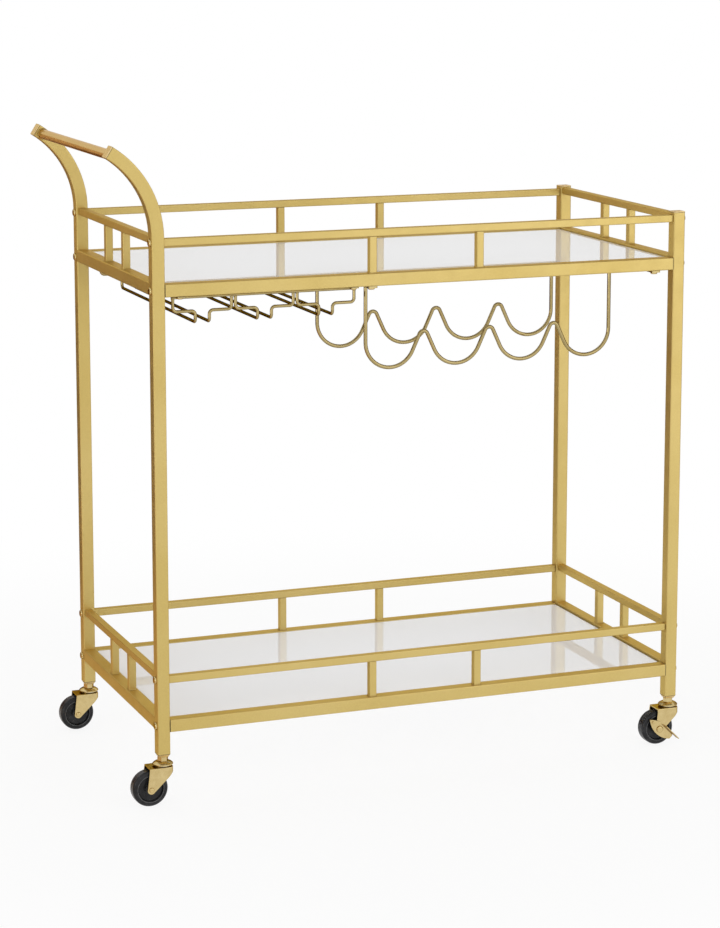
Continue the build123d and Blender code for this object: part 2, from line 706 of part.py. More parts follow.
    if braked:
        with BuildPart() as lever:
            lever_plane = Plane(origin=(axle_x, y - lever_face, axle_z), x_dir=lever_axis, z_dir=(0, -1, 0))
            pedal_top = pedal_offset + lever_thickness
            rim_crest = lever_half_width * 0.8
            with BuildSketch(lever_plane) as leaf:
                with BuildLine():
                    ThreePointArc((-lever_half_length, 0), (0, -lever_half_width), (lever_half_length, 0))
                    Polyline((lever_half_length, 0), (lever_half_length, pedal_offset), (pedal_start, pedal_top))
                    ThreePointArc(
                        (pedal_start, pedal_top),
                        (-lever_half_length / 2, rim_crest),
                        (-lever_half_length, 0),
                    )
                make_face()
                fillet(leaf.vertices().sort_by(Axis.X)[-2:], lever_tip_corner)
            extrude(amount=lever_thickness)
            with BuildSketch(lever_plane):
                with BuildLine():
                    ThreePointArc(
                        (pedal_start, pedal_top),
                        (-lever_half_length / 2, rim_crest),
                        (-lever_half_length, 0),
                    )
                    Line((-lever_half_length, 0), (2 * lever_thickness - lever_half_length, 0))
                    ThreePointArc(
                        (2 * lever_thickness - lever_half_length, 0),
                        (-lever_half_length / 2, rim_crest - lever_thickness),
                        (pedal_start, pedal_offset),
                    )
                    Line((pedal_start, pedal_offset), (pedal_start, pedal_top))
                make_face()
            extrude(amount=lever_thickness + lever_rim)
            with BuildSketch(lever_plane):
                with Locations(((pedal_start + pedal_end) / 2, pedal_offset + lever_thickness / 2)):
                    Rectangle(pedal_end - pedal_start, lever_thickness)
            extrude(amount=lever_thickness + pedal_reach)
            with BuildSketch(lever_plane.offset(lever_thickness)):
                with Locations((stud_station, 0)):
                    Circle(stud_diameter / 2)
            extrude(amount=stud_height)
            with BuildSketch(lever_plane):
                Circle(axle_diameter / 2 + running_clearance)
            extrude(amount=lever_thickness, mode=Mode.SUBTRACT)
        save(lever, f"brake_lever_{place}")

print(f"left face {left_face:.3f}  right face {right_face:.3f}  handle reach {handle_reach:.3f}")
print(f"top of posts {post_top + cap_thickness:.3f}  grip at {grip_x:.3f}, {grip_z:.3f}  flank {degrees(flank):.2f}")
print(f"leg bottom {leg_bottom:.3f}  fork top {fork_top:.3f}")
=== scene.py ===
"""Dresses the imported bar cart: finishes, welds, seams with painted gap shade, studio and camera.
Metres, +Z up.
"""

import logging
import math
from dataclasses import dataclass
from enum import Enum

import bmesh
import bpy
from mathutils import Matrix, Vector


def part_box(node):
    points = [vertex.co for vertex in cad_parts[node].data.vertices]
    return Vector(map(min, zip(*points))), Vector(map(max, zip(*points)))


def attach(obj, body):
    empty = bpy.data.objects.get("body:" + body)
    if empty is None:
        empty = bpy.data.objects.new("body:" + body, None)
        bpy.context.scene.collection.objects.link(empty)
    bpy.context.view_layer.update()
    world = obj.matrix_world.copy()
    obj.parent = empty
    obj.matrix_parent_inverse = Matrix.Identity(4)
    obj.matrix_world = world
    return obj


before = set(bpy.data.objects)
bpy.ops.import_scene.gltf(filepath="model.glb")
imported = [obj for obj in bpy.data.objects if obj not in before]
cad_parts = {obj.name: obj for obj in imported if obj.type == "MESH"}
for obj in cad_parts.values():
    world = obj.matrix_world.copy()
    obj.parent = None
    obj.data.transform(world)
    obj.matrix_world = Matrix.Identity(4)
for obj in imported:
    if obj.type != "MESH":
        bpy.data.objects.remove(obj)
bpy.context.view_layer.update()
LOG = logging.getLogger("bar_cart")

MM = 0.001
SHARP_ANGLE = math.radians(40)  # a wider turn between two faces stays a sharp edge
HALF_CARD = 0.5  # a studio card is a unit square until it is scaled
RIGHT = Vector((1, 0, 0))
BACK = Vector((0, 1, 0))
UP = Vector((0, 0, 1))

Colour = tuple[float, float, float]
Point = tuple[float, float, float]
Range = tuple[float, float]
Outline = list[tuple[float, float]]
Ring = tuple[float, Outline]
Socket = bpy.types.NodeSocket


class Octaves(Enum):
    """How much fine detail a noise pattern holds."""

    FEW = 2.0
    SOME = 3.0
    MANY = 4.0


class NodeSheet:
    """A material's node tree, with short calls for the nodes that the finishes share."""

    PATTERN = (0.3, 0.7)  # the range that holds most of a noise pattern
    EDGE_TURN = 0.85  # cosine between true and rounded normal right on an edge
    BEVEL_SAMPLES = 4

    def __init__(self, name: str) -> None:
        """Starts a material with one Principled shader.

        Args:
            name: The material's name.
        """
        self.material = bpy.data.materials.new(name)
        self.material.use_nodes = True
        self.nodes = self.material.node_tree.nodes
        self.links = self.material.node_tree.links
        self.shader = self.nodes["Principled BSDF"]
        self.place = self.nodes.new("ShaderNodeTexCoord").outputs["Object"]

    def set(self, **values: float | Colour) -> None:
        """Sets uniform values on the shader's own sockets.

        Args:
            values: A value for each socket, with underscores for the spaces in its name.
        """
        for key, value in values.items():
            socket = self.shader.inputs[key.replace("_", " ")]
            socket.default_value = (*value, 1.0) if isinstance(value, tuple) else value

    def feed(self, socket: str, source: Socket) -> None:
        """Links a node's output to one of the shader's sockets."""
        self.links.new(source, self.shader.inputs[socket])

    def stretched(self, scale: Colour) -> Socket:
        """Multiplies the object coordinates axis by axis.

        Args:
            scale: One factor for each axis.

        Returns:
            The stretched coordinates.
        """
        node = self.nodes.new("ShaderNodeMapping")
        node.inputs["Scale"].default_value = scale
        self.links.new(self.place, node.inputs["Vector"])
        return node.outputs["Vector"]

    def noise(
        self, scale: float, octaves: Octaves = Octaves.SOME, place: Socket | None = None
    ) -> Socket:
        """Adds a noise pattern.

        Args:
            scale: Cells per metre.
            octaves: How much fine detail it has.
            place: Coordinates, the object's own if left out.

        Returns:
            The pattern's grey value.
        """
        node = self.nodes.new("ShaderNodeTexNoise")
        node.inputs["Scale"].default_value = scale
        node.inputs["Detail"].default_value = octaves.value
        self.links.new(place or self.place, node.inputs["Vector"])
        return node.outputs["Fac"]

    def ramp(self, grey: Socket, stops: Range, low: Colour, high: Colour) -> Socket:
        """Turns a grey value into a colour between two stops.

        Args:
            grey: The value to read.
            stops: Positions of the two stops.
            low: Colour of the first stop.
            high: Colour of the second stop.

        Returns:
            The ramp's colour.
        """
        node = self.nodes.new("ShaderNodeValToRGB")
        for element, position, colour in zip(node.color_ramp.elements, stops, (low, high)):
            element.position = position
            element.color = (*colour, 1.0)
        self.links.new(grey, node.inputs["Fac"])
        return node.outputs["Color"]

    def map_range(
        self, value: Socket, source: Range, target: Range = (0.0, 1.0), kind: str = "LINEAR"
    ) -> Socket:
        """Maps a value from one range to another and holds it at the ends.

        Args:
            value: The value to read.
            source: Its own range.
            target: The range to map it to.
            kind: The node's name for the interpolation.

        Returns:
            The mapped value.
        """
        node = self.nodes.new("ShaderNodeMapRange")
        node.interpolation_type = kind
        node.inputs["From Min"].default_value, node.inputs["From Max"].default_value = source
        node.inputs["To Min"].default_value, node.inputs["To Max"].default_value = target
        self.links.new(value, node.inputs["Value"])
        return node.outputs["Result"]

    def spread(self, grey: Socket, target: Range) -> Socket:
        """Maps most of a noise pattern to a range of values."""
        return self.map_range(grey, self.PATTERN, target)

    def mix(self, share: Socket, first: Socket, second: Colour) -> Socket:
        """Lays a second colour over a first one.

        Args:
            share: How much of the second colour shows.
            first: The colour below.
            second: The colour on top.

        Returns:
            The mixed colour.
        """
        node = self.nodes.new("ShaderNodeMix")
        node.data_type = "RGBA"
        self.links.new(share, node.inputs["Factor"])
        self.links.new(first, node.inputs["A"])
        node.inputs["B"].default_value = (*second, 1.0)
        return node.outputs["Result"]

    def overlay(self, share: float, first: Socket, second: Socket) -> Socket:
        """Overlays a pattern on a colour.

        Args:
            share: Strength of the overlay.
            first: The colour below.
            second: The pattern.

        Returns:
            The overlaid colour.
        """
        node = self.nodes.new("ShaderNodeMix")
        node.data_type = "RGBA"
        node.blend_type = "OVERLAY"
        node.inputs["Factor"].default_value = share
        self.links.new(first, node.inputs["A"])
        self.links.new(second, node.inputs["B"])
        return node.outputs["Result"]

    def true_normal(self) -> Socket:
        """Returns the surface's own normal."""
        return self.nodes.new("ShaderNodeNewGeometry").outputs["Normal"]

    def soft_edges(self, radius: float) -> Socket:
        """Rounds sharp edges in shading only.

        Args:
            radius: Reach of the rounding.

        Returns:
            The rounded normal.
        """
        node = self.nodes.new("ShaderNodeBevel")
        node.samples = self.BEVEL_SAMPLES
        node.inputs["Radius"].default_value = radius
        return node.outputs["Normal"]

    def edge_share(self, rounded: Socket, gain: float) -> Socket:
        """Finds how near a point is to an edge, from the turn of its rounded normal.

        Args:
            rounded: The rounded normal.
            gain: The share right on an edge.

        Returns:
            The share, from 0 on a flat face to the gain.
        """
        turn = self.nodes.new("ShaderNodeVectorMath")
        turn.operation = "DOT_PRODUCT"
        self.links.new(rounded, turn.inputs[0])
        self.links.new(self.true_normal(), turn.inputs[1])
        return self.map_range(turn.outputs["Value"], (1.0, self.EDGE_TURN), (0.0, gain))

    def bump(self, height: Socket, depth: float, strength: float, normal: Socket) -> Socket:
        """Adds a relief over a normal.

        Args:
            height: Grey pattern of the relief.
            depth: Relief in metres.
            strength: Share of the relief that shows.
            normal: Normal below the relief.

        Returns:
            The bumped normal.
        """
        node = self.nodes.new("ShaderNodeBump")
        node.inputs["Distance"].default_value = depth
        node.inputs["Strength"].default_value = strength
        self.links.new(height, node.inputs["Height"])
        self.links.new(normal, node.inputs["Normal"])
        return node.outputs["Normal"]


@dataclass(frozen=True)
class GoldCoat:
    """Satin metallic powder coat with a fine grain and a set colour mixed in along its edges."""

    name: str
    light: Colour
    dark: Colour
    edge: Colour
    metallic: float
    roughness: Range
    flop: Colour = (0.62, 0.42, 0.16)
    grain: float = 1400.0
    patch: float = 9.0
    smudge: float = 60.0
    stops: Range = (0.35, 0.65)
    flake: float = 0.18
    edge_gain: float = 0.55
    edge_radius: float = 0.9 * MM
    depth: float = 0.03 * MM
    relief: float = 0.25

    def material(self) -> bpy.types.Material:
        """Builds the coat's node material.

        Returns:
            The material.
        """
        sheet = NodeSheet(self.name)
        speck = sheet.noise(self.grain, Octaves.FEW)
        cloud = sheet.noise(self.patch, Octaves.MANY)
        body = sheet.ramp(cloud, self.stops, self.dark, self.light)
        grey_low, grey_high = ((level,) * 3 for level in sheet.PATTERN)
        grain = sheet.ramp(speck, sheet.PATTERN, grey_low, grey_high)
        flaked = sheet.overlay(self.flake, body, grain)
        rounded = sheet.soft_edges(self.edge_radius)
        # mixes the edge colour in along the bevelled edges: darker on the frame, lighter on the
        # caps
        edged = sheet.mix(sheet.edge_share(rounded, self.edge_gain), flaked, self.edge)
        sheet.feed("Base Color", edged)
        sheet.feed("Roughness", sheet.spread(sheet.noise(self.smudge), self.roughness))
        sheet.feed("Normal", sheet.bump(speck, self.depth, self.relief, rounded))
        sheet.set(Metallic=self.metallic, Specular_Tint=self.flop)
        return sheet.material


@dataclass(frozen=True)
class GoldPlate:
    """Bright plating with hairline polish marks."""

    name: str
    light: Colour
    dark: Colour
    roughness: Range
    flop: Colour
    hairline: Colour = (300.0, 300.0, 2600.0)
    patch: float = 120.0
    stops: Range = (0.3, 0.65)
    edge_radius: float = 0.35 * MM
    depth: float = 0.02 * MM
    relief: float = 0.12

    def material(self) -> bpy.types.Material:
        """Builds the plating's node material.

        Returns:
            The material.
        """
        sheet = NodeSheet(self.name)
        hair = sheet.noise(1.0, Octaves.FEW, sheet.stretched(self.hairline))
        cloud = sheet.noise(self.patch, Octaves.MANY)
        rounded = sheet.soft_edges(self.edge_radius)
        sheet.feed("Base Color", sheet.ramp(cloud, self.stops, self.dark, self.light))
        sheet.feed("Roughness", sheet.spread(hair, self.roughness))
        sheet.feed("Normal", sheet.bump(hair, self.depth, self.relief, rounded))
        sheet.set(Metallic=1.0, Specular_Tint=self.flop)
        return sheet.material


@dataclass(frozen=True)
class PaleGlass:
    """Opaque pale glass: glossy face, faint wipe marks, cooler ground edges."""

    name: str
    face: Colour
    shade: Colour
    rim: Colour
    roughness: Range = (0.008, 0.03)
    patch: float = 2.2
    wipe: Colour = (6.0, 28.0, 6.0)
    side_turn: Range = (0.9, 0.3)
    ior: float = 1.5

    def material(self) -> bpy.types.Material:
        """Builds the glass's node material.

        Returns:
            The material.
        """
        sheet = NodeSheet(self.name)
        cloud = sheet.noise(self.patch, Octaves.FEW)
        face = sheet.ramp(cloud, sheet.PATTERN, self.shade, self.face)
        parts = sheet.nodes.new("ShaderNodeSeparateXYZ")
        sheet.links.new(sheet.true_normal(), parts.inputs["Vector"])
        upright = sheet.nodes.new("ShaderNodeMath")
        upright.operation = "ABSOLUTE"
        sheet.links.new(parts.outputs["Z"], upright.inputs[0])
        side = sheet.map_range(upright.outputs["Value"], self.side_turn)
        sheet.feed("Base Color", sheet.mix(side, face, self.rim))
        wipe = sheet.noise(1.0, Octaves.MANY, sheet.stretched(self.wipe))
        sheet.feed("Roughness", sheet.spread(wipe, self.roughness))
        sheet.set(IOR=self.ior)
        return sheet.material


@dataclass(frozen=True)
class MouldedPlastic:
    """Moulded plastic with a fine texture and scuffed edges."""

    name: str
    body: Colour
    scuff: Colour
    roughness: Range
    shine: float = 0.5
    grain: float = 700.0
    patch: float = 90.0
    stops: Range = (0.45, 0.9)
    edge_gain: float = 0.35
    edge_radius: float = 0.5 * MM
    depth: float = 0.04 * MM
    relief: float = 0.3

    def material(self) -> bpy.types.Material:
        """Builds the plastic's node material.

        Returns:
            The material.
        """
        sheet = NodeSheet(self.name)
        speck = sheet.noise(self.grain)
        rounded = sheet.soft_edges(self.edge_radius)
        cloud = sheet.noise(self.patch, Octaves.MANY)
        tone = sheet.ramp(cloud, self.stops, self.body, self.scuff)
        scuffed = sheet.mix(sheet.edge_share(rounded, self.edge_gain), tone, self.scuff)
        sheet.feed("Base Color", scuffed)
        sheet.feed("Roughness", sheet.spread(cloud, self.roughness))
        sheet.feed("Normal", sheet.bump(speck, self.depth, self.relief, rounded))
        sheet.set(Specular_IOR_Level=self.shine)
        return sheet.material


@dataclass(frozen=True)
class StudioCard:
    """Matt card that thins out towards its edges, so that its mirror image has no hard line."""

    name: str
    tone: Colour
    fade: float = 0.2
    patch: float = 3.0
    patch_gain: float = 1.2
    roughness: float = 0.85

    def material(self) -> bpy.types.Material:
        """Builds the card's node material.

        Returns:
            The material.
        """
        sheet = NodeSheet(self.name)
        pale = tuple(self.patch_gain * value for value in self.tone)
        cloud = sheet.noise(self.patch, Octaves.FEW)
        sheet.feed("Base Color", sheet.ramp(cloud, sheet.PATTERN, self.tone, pale))
        sheet.set(Roughness=self.roughness)
        reach = sheet.nodes.new("ShaderNodeVectorMath")
        reach.operation = "ABSOLUTE"
        sheet.links.new(sheet.place, reach.inputs[0])
        parts = sheet.nodes.new("ShaderNodeSeparateXYZ")
        sheet.links.new(reach.outputs["Vector"], parts.inputs["Vector"])
        cover = sheet.nodes.new("ShaderNodeMath")
        cover.operation = "MULTIPLY"
        margin = (HALF_CARD - self.fade, HALF_CARD)
        for axis, factor in zip("XY", cover.inputs):
            level = sheet.map_range(parts.outputs[axis], margin, (1.0, 0.0), "SMOOTHSTEP")
            sheet.links.new(level, factor)
        sheet.feed("Alpha", cover.outputs["Value"])
        return sheet.material


class Slot(Enum):
    """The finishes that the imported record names."""

    FRAME = "frame_gold"
    CAP = "cap_gold"
    GLASS = "shelf_glass"
    PAD = "clear_pad"
    PLATED = "plated_gold"
    STEEL = "insert_steel"
    WIRE = "wire_gold"
    WHEEL = "wheel_charcoal"


FINISHES = {
    Slot.FRAME: GoldCoat(
        "satin_gold_coat",
        light=(0.62, 0.474, 0.176),
        dark=(0.58, 0.434, 0.146),
        edge=(0.46, 0.30, 0.08),
        metallic=0.8,
        roughness=(0.32, 0.42),
    ),
    Slot.CAP: GoldCoat(
        "gold_cap",
        light=(0.74, 0.57, 0.29),
        dark=(0.66, 0.49, 0.22),
        edge=(0.86, 0.72, 0.45),
        metallic=0.6,
        roughness=(0.26, 0.34),
    ),
    Slot.GLASS: PaleGlass(
        "pale_glass",
        face=(0.92, 0.92, 0.93),
        shade=(0.89, 0.89, 0.90),
        rim=(0.55, 0.59, 0.58),
    ),
    Slot.PAD: MouldedPlastic(
        "clear_pad",
        body=(0.62, 0.62, 0.60),
        scuff=(0.75, 0.75, 0.72),
        roughness=(0.3, 0.45),
    ),
    Slot.PLATED: GoldPlate(
        "bright_gold_plate",
        light=(0.66, 0.52, 0.25),
        dark=(0.57, 0.43, 0.19),
        roughness=(0.08, 0.15),
        flop=(0.3, 0.18, 0.08),
    ),
    Slot.STEEL: GoldPlate(
        "zinc_plate",
        light=(0.62, 0.63, 0.64),
        dark=(0.46, 0.47, 0.48),
        roughness=(0.28, 0.42),
        flop=(0.7, 0.7, 0.7),
    ),
    Slot.WIRE: GoldPlate(
        "champagne_plate",
        light=(0.44, 0.35, 0.165),
        dark=(0.38, 0.295, 0.13),
        roughness=(0.07, 0.12),
        flop=(0.08, 0.05, 0.03),
        hairline=(120.0, 120.0, 120.0),
        patch=25.0,
        edge_radius=0.04 * MM,
        relief=0.04,
    ),
    Slot.WHEEL: MouldedPlastic(
        "charcoal_wheel",
        body=(0.011, 0.011, 0.012),
        scuff=(0.04, 0.04, 0.042),
        roughness=(0.2, 0.3),
        shine=0.25,
    ),
}
# Painted shade: a dark brown for the joint rings, standing in for the shade in each joint's narrow
# gap.
SEAM_GAP_SHADE = MouldedPlastic(
    "painted_seam_shade",
    body=(0.05, 0.034, 0.014),
    scuff=(0.10, 0.07, 0.03),
    roughness=(0.5, 0.65),
)
POLISHED_GRIP = GoldPlate(
    "polished_grip",
    light=(0.69, 0.53, 0.27),
    dark=(0.63, 0.47, 0.22),
    roughness=(0.17, 0.23),
    flop=(0.78, 0.63, 0.45),
    hairline=(90.0, 25.0, 90.0),
    patch=20.0,
    relief=0.05,
)
POLISHED_LIP = MouldedPlastic(
    "polished_lip",
    body=(0.03, 0.03, 0.032),
    scuff=(0.08, 0.08, 0.08),
    roughness=(0.1, 0.18),
    shine=1.0,
)


class Wardrobe:
    """Makes each finish once and hands out its material."""

    def __init__(self) -> None:
        """Builds every finish that the record's slots need, and the trim's own."""
        self.materials = {slot: finish.material() for slot, finish in FINISHES.items()}
        # painted shade for the seam rings at the joints
        self.seam = SEAM_GAP_SHADE.material()
        self.grip = POLISHED_GRIP.material()
        self.lip = POLISHED_LIP.material()

    def dress(self, nodes: tuple[str, ...], slot: Slot) -> list[str]:
        """Puts a finish on CAD nodes in place of all their materials.

        Args:
            nodes: The nodes' names.
            slot: The finish.

        Returns:
            The same names, for the log.
        """
        for node in nodes:
            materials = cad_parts[node].data.materials
            materials.clear()
            materials.append(self.materials[slot])
        return list(nodes)


def new_piece(
    name: str, mesh: bmesh.types.BMesh, body: str, material: bpy.types.Material
) -> str:
    """Turns a bmesh into a smooth-shaded piece on a body.

    Args:
        name: The piece's name.
        mesh: Its geometry, which is freed here.
        body: The CAD body that it rides on.
        material: Its material.

    Returns:
        The piece's name, for the log.
    """
    bmesh.ops.recalc_face_normals(mesh, faces=mesh.faces)
    data = bpy.data.meshes.new(name)
    mesh.to_mesh(data)
    mesh.free()
    obj = bpy.data.objects.new(name, data)
    bpy.context.scene.collection.objects.link(obj)
    for polygon in data.polygons:
        polygon.use_smooth = True
    data.set_sharp_from_angle(angle=SHARP_ANGLE)
    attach(obj, body)
    data.materials.append(material)
    return obj.name


def rounded_square(size: float, radius: float, steps: int = 5) -> Outline:
    """Lists the outline points of a rounded square about the origin.

    Args:
        size: Width over the flats.
        radius: Corner radius.
        steps: Segments in each corner.

    Returns:
        Points in order, anticlockwise.
    """
    inner = size / 2 - radius
    centres = ((inner, inner), (-inner, inner), (-inner, -inner), (inner, -inner))
    points = []
    for corner, (x, y) in enumerate(centres):
        for step in range(steps + 1):
            angle = math.pi / 2 * (corner + step / steps)
            points.append((x + radius * math.cos(angle), y + radius * math.sin(angle)))
    return points


def circle(radius: float, steps: int = 40) -> Outline:
    """Lists the points of a circle about the origin, anticlockwise."""
    angles = [2 * math.pi * step / steps for step in range(steps)]
    return [(radius * math.cos(angle), radius * math.sin(angle)) for angle in angles]


def add_band(
    mesh: bmesh.types.BMesh, centre: Vector, across: Vector, along: Vector, rings: list[Ring]
) -> None:
    """Adds a closed band through a list of outlines, joined last to first.

    Args:
        mesh: The mesh to add to.
        centre: Middle of the band.
        across: Direction of the outlines' first axis.
        along: The band's own axis.
        rings: Station along the axis and outline points, one for each ring.
    """
    side = along.cross(across)
    loops = [
        [mesh.verts.new(centre + along * station + across * u + side * v) for u, v in outline]
        for station, outline in rings
    ]
    for ring, following in zip(loops, loops[1:] + loops[:1]):
        for index in range(len(ring)):
            after = (index + 1) % len(ring)
            mesh.faces.new((ring[index], ring[after], following[after], following[index]))


@dataclass
class TubeFrame:
    """Legs, rails, galleries and grip, with the welds and seams that hold them; the seams' dark
    lines are painted shade.

    The waists and the rise are shares of the weld bead's size.
    """

    leg: float = 16.0 * MM
    corner: float = 1.5 * MM
    slim: float = 9.5 * MM
    slim_corner: float = 1.0 * MM
    bend: float = math.radians(58.0)
    grip_radius: float = 6.35 * MM
    cap: float = 1.5 * MM
    seam: float = 0.45 * MM
    seam_proud: float = 0.04 * MM
    seam_depth: float = 0.4 * MM
    seam_inner_corner: float = 1.2 * MM
    bead: float = 1.0 * MM
    waist_width: float = 0.35
    baluster_waist: float = 0.3
    grip_waist: float = 0.35
    grip_rise: float = 1.1
    baluster_skin: float = 0.05 * MM
    grip_skin: float = 0.02 * MM
    bury: float = 0.2 * MM
    plan_cell: float = 0.03
    shelves: tuple[str, ...] = ("upper", "lower")
    caps: tuple[str, ...] = ("handle_end_caps", "post_top_plugs", "leg_foot_inserts")
    tubes: tuple[str, ...] = (
        "leg_front_left",
        "leg_rear_left",
        "leg_front_right",
        "leg_rear_right",
        "handle_grip",
        "glass_tabs",
    )

    def nodes(self) -> tuple[str, ...]:
        """Lists the CAD nodes of the welded frame.

        Returns:
            Their names.
        """
        rails = [
            f"{shelf}_{side}_{kind}"
            for shelf in self.shelves
            for side in ("front", "rear", "left", "right")
            for kind in ("rail", "gallery_rail")
        ]
        return (*self.tubes, *rails, "upper_balusters", "lower_balusters")

    def build(self, wardrobe: Wardrobe) -> list[str]:
        """Dresses the tubes and adds beads, collars and seams, the seams as dark lines of painted
        shade.

        Args:
            wardrobe: The finishes.

        Returns:
            The names of the pieces.
        """
        pieces = wardrobe.dress(self.nodes(), Slot.FRAME)
        pieces += wardrobe.dress(self.caps, Slot.CAP)
        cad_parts["handle_grip"].data.materials[0] = wardrobe.grip
        pieces.append(self.baluster_beads(wardrobe))
        pieces.append(self.grip_collars(wardrobe))
        pieces.append(self.cap_seams(wardrobe))
        return pieces

    def baluster_beads(self, wardrobe: Wardrobe) -> str:
        """Adds a small weld fillet round each baluster's foot.

        Args:
            wardrobe: The finishes.

        Returns:
            The piece's name.
        """
        mesh = bmesh.new()
        foot = rounded_square(self.slim + 2 * self.bead, self.bead + self.slim_corner)
        waist = rounded_square(self.slim + 2 * self.waist_width * self.bead, self.bead)
        neck = rounded_square(self.slim + 2 * self.baluster_skin, self.slim_corner)
        inner = rounded_square(self.slim - 2 * self.bury, self.slim_corner - self.bury)
        rings = [
            (0.0, foot),
            (self.baluster_waist * self.bead, waist),
            (self.bead, neck),
            (self.bead, inner),
            (0.0, inner),
        ]
        for shelf in self.shelves:
            for low in self.baluster_feet(f"{shelf}_balusters"):
                add_band(mesh, low, RIGHT, UP, rings)
        finish = wardrobe.materials[Slot.FRAME]
        return new_piece("baluster_weld_beads", mesh, "frame", finish)

    def baluster_feet(self, node: str) -> list[Vector]:
        """Finds the middle of each baluster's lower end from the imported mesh.

        Args:
            node: The CAD node that holds the balusters.

        Returns:
            One point for each baluster.
        """
        cells: dict[tuple[int, int], list[Vector]] = {}
        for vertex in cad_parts[node].data.vertices:
            key = (round(vertex.co.x / self.plan_cell), round(vertex.co.y / self.plan_cell))
            cells.setdefault(key, []).append(vertex.co.copy())
        feet: list[Vector] = []
        for points in self.joined(cells):
            low = Vector([min(point[axis] for point in points) for axis in range(3)])
            high = Vector([max(point[axis] for point in points) for axis in range(3)])
            feet.append(Vector(((low.x + high.x) / 2, (low.y + high.y) / 2, low.z)))
        return feet

    @staticmethod
    def joined(cells: dict[tuple[int, int], list[Vector]]) -> list[list[Vector]]:
        """Joins neighbouring plan cells, so that a tube on a cell's border stays one.

        Args:
            cells: The points in each plan cell.

        Returns:
            The points of each group of cells.
        """
        groups: list[list[Vector]] = []
        left = dict(cells)
        while left:
            todo = [next(iter(left))]
            points: list[Vector] = []
            while todo:
                key = todo.pop()
                if key not in left:
                    continue
                points += left.pop(key)
                todo += [(key[0] + dx, key[1] + dy) for dx in (-1, 0, 1) for dy in (-1, 0, 1)]
            groups.append(points)
        return groups

    def grip_collars(self, wardrobe: Wardrobe) -> str:
        """Adds a weld fillet where the grip meets each bent leg.

        Args:
            wardrobe: The finishes.

        Returns:
            The piece's name.
        """
        low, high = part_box("handle_grip")
        mesh = bmesh.new()
        rise = self.grip_rise * self.bead
        inner = circle(self.grip_radius - self.bury)
        rings = [
            (0.0, circle(self.grip_radius + self.bead)),
            (self.grip_waist * self.bead, circle(self.grip_radius + self.waist_width * self.bead)),
            (rise, circle(self.grip_radius + self.grip_skin)),
            (rise, inner),
            (0.0, inner),
        ]
        for y, inward in ((low.y, 1.0), (high.y, -1.0)):
            centre = Vector(((low.x + high.x) / 2, y, (low.z + high.z) / 2))
            add_band(mesh, centre, RIGHT, inward * BACK, rings)
        finish = wardrobe.materials[Slot.FRAME]
        return new_piece("handle_weld_collars", mesh, "frame", finish)

    def cap_seams(self, wardrobe: Wardrobe) -> str:
        """Adds the joint lines at the caps, plugs and feet and at the long rails' ends: dark rings
        of painted shade for each joint's gap.

        Args:
            wardrobe: The finishes.

        Returns:
            The piece's name.
        """
        mesh = bmesh.new()
        half = self.leg / 2
        sine, cosine = math.sin(self.bend), math.cos(self.bend)
        low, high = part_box("handle_end_caps")
        end_x = low.x + self.cap * sine + half * cosine
        end_z = high.z - self.cap * cosine - half * sine
        slope = Vector((-sine, 0, cosine))
        for y in (low.y + half, high.y - half):
            self.seam_ring(mesh, Vector((end_x, y, end_z)), BACK, slope, self.leg)
        post_low, post_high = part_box("post_top_plugs")
        post_x = (post_low.x + post_high.x) / 2
        for y in (post_low.y + half, post_high.y - half):
            self.seam_ring(mesh, Vector((post_x, y, post_high.z - self.cap)), BACK, UP, self.leg)
        foot_low, foot_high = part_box("leg_foot_inserts")
        leg_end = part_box("leg_front_left")[0].z
        for x in (foot_low.x + half, foot_high.x - half):
            for y in (foot_low.y + half, foot_high.y - half):
                self.seam_ring(mesh, Vector((x, y, leg_end)), BACK, UP, self.leg)
        for shelf in self.shelves:
            for side in ("front", "rear"):
                for node in (f"{shelf}_{side}_rail", f"{shelf}_{side}_gallery_rail"):
                    self.rail_joints(mesh, node)
        # the seam rings take the painted gap shade, a dark colour for the shade in each joint
        return new_piece("tube_end_seam_shade", mesh, "frame", wardrobe.seam)

    def rail_joints(self, mesh: bmesh.types.BMesh, node: str) -> None:
        """Adds the joint line, a ring of painted gap shade, at both ends of a long rail, where it
        butts against the legs.

        Args:
            mesh: The mesh to add to.
            node: The rail's CAD node.
        """
        low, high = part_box(node)
        middle = (low + high) / 2
        for x in (low.x + self.seam / 2, high.x - self.seam / 2):
            self.seam_ring(mesh, Vector((x, middle.y, middle.z)), BACK, RIGHT, high.z - low.z)

    def seam_ring(
        self, mesh: bmesh.types.BMesh, centre: Vector, across: Vector, along: Vector, size: float
    ) -> None:
        """Adds one joint line round a square tube, the ring that the painted gap shade goes on.

        Args:
            mesh: The mesh to add to.
            centre: Middle of the tube's section.
            across: Direction of one of the tube's sides.
            along: The tube's own direction.
            size: Width of the tube.
        """
        outer = rounded_square(size + 2 * self.seam_proud, self.corner)
        inner = rounded_square(size - 2 * self.seam_depth, self.seam_inner_corner)
        half = self.seam / 2
        rings = [(-half, outer), (half, outer), (half, inner), (-half, inner)]
        add_band(mesh, centre, across, along, rings)


@dataclass
class Shelves:
    """Both glass shelves and the pads under them."""

    glasses: tuple[str, ...] = ("upper_glass", "lower_glass")
    pads: tuple[str, ...] = ("glass_pads",)

    def build(self, wardrobe: Wardrobe) -> list[str]:
        """Dresses the glass and its pads and returns their names."""
        return wardrobe.dress(self.glasses, Slot.GLASS) + wardrobe.dress(self.pads, Slot.PAD)


@dataclass
class Fasteners:
    """Frame bolts, rack screws, the inserts in the rails' ends and the casters' washers."""

    plated: tuple[str, ...] = ("frame_bolts_left", "frame_bolts_right", "rack_screws")
    hidden: tuple[str, ...] = ("rail_end_inserts", "gallery_end_inserts", "swivel_washers")

    def build(self, wardrobe: Wardrobe) -> list[str]:
        """Dresses the fasteners and returns their names."""
        return wardrobe.dress(self.plated, Slot.PLATED) + wardrobe.dress(self.hidden, Slot.STEEL)


